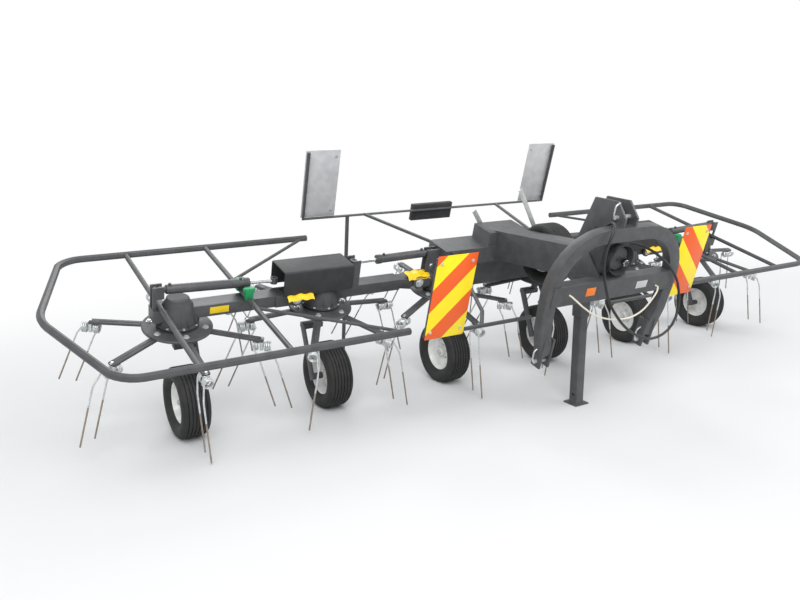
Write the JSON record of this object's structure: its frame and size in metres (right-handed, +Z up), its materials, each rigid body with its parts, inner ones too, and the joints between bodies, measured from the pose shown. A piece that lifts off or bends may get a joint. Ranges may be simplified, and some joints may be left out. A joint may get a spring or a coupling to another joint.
{
  "type": "hay tedder",
  "caption": "Hay tedder: driven tine rotors in a row on a folding beam, with tubular guard hoops, ribbed tyres and a leaning three-point headstock",
  "frame": {"origin": "on the ground, in the middle of the bounding box", "axes": "+X across the machine to the left of its travel, -Y the front with the headstock, +Y the rear, +Z up; the rotor row and headstock are pitched 15 degrees forward about X"},
  "size_m": [5.822, 2.0777, 1.5156],
  "materials": {
    "anthracite": "satin dark grey powder coat on frame, rotors and guards",
    "white_paint": "gloss white enamel on pressed steel wheel discs",
    "rubber": "black ribbed implement tyre rubber",
    "black_plastic": "moulded black plastic cover and holder",
    "yellow_paint": "gloss yellow sheet steel with orange diagonal bars",
    "hose_rubber": "black rubber cover of a hydraulic hose",
    "cream_rope": "cream braided rope",
    "grey_panel": "light grey back of a sheet steel panel"
  },
  "bodies": {
    "centre": {"centre_frame": "anthracite", "headstock": "anthracite", "main_gearbox": "anthracite", "rear_lamp_bar": "anthracite", "plate_holder": "black_plastic", "spare_tyre": "rubber", "spare_rim": "white_paint", "hydraulic_hose": "hose_rubber", "pull_rope": "cream_rope", "left_inner_gear_housing": "anthracite", "left_inner_wheel_leg": "anthracite", "left_front_guard": "anthracite", "left_front_marker_panel": "yellow_paint", "left_rear_marker_panel": "grey_panel", "right_inner_gear_housing": "anthracite", "right_inner_wheel_leg": "anthracite", "right_front_guard": "anthracite", "right_front_marker_panel": "yellow_paint", "right_rear_marker_panel": "grey_panel"},
    "left_inner_wing": {"left_inner_beam": "anthracite", "left_middle_gear_housing": "anthracite", "left_middle_wheel_leg": "anthracite", "left_linkage_cover": "black_plastic"},
    "left_outer_wing": {"left_outer_beam": "anthracite", "left_outer_gear_housing": "anthracite", "left_outer_wheel_leg": "anthracite", "left_guard_hoop": "anthracite", "left_outer_cylinder": "anthracite"},
    "left_inner_ram": {"left_inner_cylinder": "anthracite"},
    "left_inner_rotor_body": {"left_inner_rotor": "anthracite"},
    "left_inner_wheel": {"left_inner_tyre": "rubber", "left_inner_rim": "white_paint"},
    "left_middle_rotor_body": {"left_middle_rotor": "anthracite"},
    "left_middle_wheel": {"left_middle_tyre": "rubber", "left_middle_rim": "white_paint"},
    "left_outer_rotor_body": {"left_outer_rotor": "anthracite"},
    "left_outer_wheel": {"left_outer_tyre": "rubber", "left_outer_rim": "white_paint"},
    "right_inner_wing": {"right_inner_beam": "anthracite", "right_middle_gear_housing": "anthracite", "right_middle_wheel_leg": "anthracite", "right_linkage_cover": "black_plastic"},
    "right_outer_wing": {"right_outer_beam": "anthracite", "right_outer_gear_housing": "anthracite", "right_outer_wheel_leg": "anthracite", "right_guard_hoop": "anthracite", "right_outer_cylinder": "anthracite"},
    "right_inner_ram": {"right_inner_cylinder": "anthracite"},
    "right_inner_rotor_body": {"right_inner_rotor": "anthracite"},
    "right_inner_wheel": {"right_inner_tyre": "rubber", "right_inner_rim": "white_paint"},
    "right_middle_rotor_body": {"right_middle_rotor": "anthracite"},
    "right_middle_wheel": {"right_middle_tyre": "rubber", "right_middle_rim": "white_paint"},
    "right_outer_rotor_body": {"right_outer_rotor": "anthracite"},
    "right_outer_wheel": {"right_outer_tyre": "rubber", "right_outer_rim": "white_paint"},
    "stand": {"parking_stand": "anthracite"}
  },
  "joints": [
    {"name": "left_inner_fold", "type": "hinge", "parent": "centre", "child": "left_inner_wing", "pos_m": [-0.645, 0.20419, 0.70927], "axis": [0, 0.9659, 0.2588], "range_deg": [-4, 90]},
    {"name": "left_outer_fold", "type": "hinge", "parent": "left_inner_wing", "child": "left_outer_wing", "pos_m": [-1.51, 0.20419, 0.70927], "axis": [0, 0.9659, 0.2588], "range_deg": [-4, 22]},
    {"name": "left_ram_swing", "type": "hinge", "parent": "centre", "child": "left_inner_ram", "pos_m": [-0.56, 0.15761, 0.88314], "axis": [0, 0.9659, 0.2588], "range_deg": [-5.2, 117]},
    {"name": "left_inner_wheel_spin", "type": "hinge", "parent": "centre", "child": "left_inner_wheel", "pos_m": [-0.44, 0.1479, 0.20077], "axis": [1, 0, 0], "continuous": true},
    {"name": "left_inner_rotor_spin", "type": "hinge", "parent": "centre", "child": "left_inner_rotor_body", "pos_m": [-0.44, 0.2249, 0.632], "axis": [0, -0.2588, 0.9659], "continuous": true},
    {"name": "left_middle_wheel_spin", "type": "hinge", "parent": "left_inner_wing", "child": "left_middle_wheel", "pos_m": [-1.32, 0.1479, 0.20077], "axis": [1, 0, 0], "continuous": true},
    {"name": "left_middle_rotor_spin", "type": "hinge", "parent": "left_inner_wing", "child": "left_middle_rotor_body", "pos_m": [-1.32, 0.2249, 0.632], "axis": [0, -0.2588, 0.9659], "continuous": true},
    {"name": "left_outer_wheel_spin", "type": "hinge", "parent": "left_outer_wing", "child": "left_outer_wheel", "pos_m": [-2.2, 0.1479, 0.20077], "axis": [1, 0, 0], "continuous": true},
    {"name": "left_outer_rotor_spin", "type": "hinge", "parent": "left_outer_wing", "child": "left_outer_rotor_body", "pos_m": [-2.2, 0.2249, 0.632], "axis": [0, -0.2588, 0.9659], "continuous": true},
    {"name": "right_inner_fold", "type": "hinge", "parent": "centre", "child": "right_inner_wing", "pos_m": [0.645, 0.20419, 0.70927], "axis": [0, -0.9659, -0.2588], "range_deg": [-4, 90]},
    {"name": "right_outer_fold", "type": "hinge", "parent": "right_inner_wing", "child": "right_outer_wing", "pos_m": [1.51, 0.20419, 0.70927], "axis": [0, -0.9659, -0.2588], "range_deg": [-4, 22]},
    {"name": "right_ram_swing", "type": "hinge", "parent": "centre", "child": "right_inner_ram", "pos_m": [0.56, 0.15761, 0.88314], "axis": [0, -0.9659, -0.2588], "range_deg": [-5.2, 117]},
    {"name": "right_inner_wheel_spin", "type": "hinge", "parent": "centre", "child": "right_inner_wheel", "pos_m": [0.44, 0.1479, 0.20077], "axis": [1, 0, 0], "continuous": true},
    {"name": "right_inner_rotor_spin", "type": "hinge", "parent": "centre", "child": "right_inner_rotor_body", "pos_m": [0.44, 0.2249, 0.632], "axis": [0, -0.2588, 0.9659], "continuous": true},
    {"name": "right_middle_wheel_spin", "type": "hinge", "parent": "right_inner_wing", "child": "right_middle_wheel", "pos_m": [1.32, 0.1479, 0.20077], "axis": [1, 0, 0], "continuous": true},
    {"name": "right_middle_rotor_spin", "type": "hinge", "parent": "right_inner_wing", "child": "right_middle_rotor_body", "pos_m": [1.32, 0.2249, 0.632], "axis": [0, -0.2588, 0.9659], "continuous": true},
    {"name": "right_outer_wheel_spin", "type": "hinge", "parent": "right_outer_wing", "child": "right_outer_wheel", "pos_m": [2.2, 0.1479, 0.20077], "axis": [1, 0, 0], "continuous": true},
    {"name": "right_outer_rotor_spin", "type": "hinge", "parent": "right_outer_wing", "child": "right_outer_rotor_body", "pos_m": [2.2, 0.2249, 0.632], "axis": [0, -0.2588, 0.9659], "continuous": true},
    {"name": "stand_slide", "type": "slide", "parent": "centre", "child": "stand", "axis": [0, 0, 1], "range_m": [0, 0.3]}
  ],
  "couplings": [
    {"joint": "left_middle_rotor_spin", "follows": "left_outer_rotor_spin", "ratio": -1},
    {"joint": "left_inner_rotor_spin", "follows": "left_outer_rotor_spin", "ratio": 1},
    {"joint": "right_inner_rotor_spin", "follows": "left_outer_rotor_spin", "ratio": -1},
    {"joint": "right_middle_rotor_spin", "follows": "left_outer_rotor_spin", "ratio": 1},
    {"joint": "right_outer_rotor_spin", "follows": "left_outer_rotor_spin", "ratio": -1},
    {"joint": "left_ram_swing", "follows": "left_inner_fold", "ratio": 1.3},
    {"joint": "right_ram_swing", "follows": "right_inner_fold", "ratio": 1.3}
  ]
}
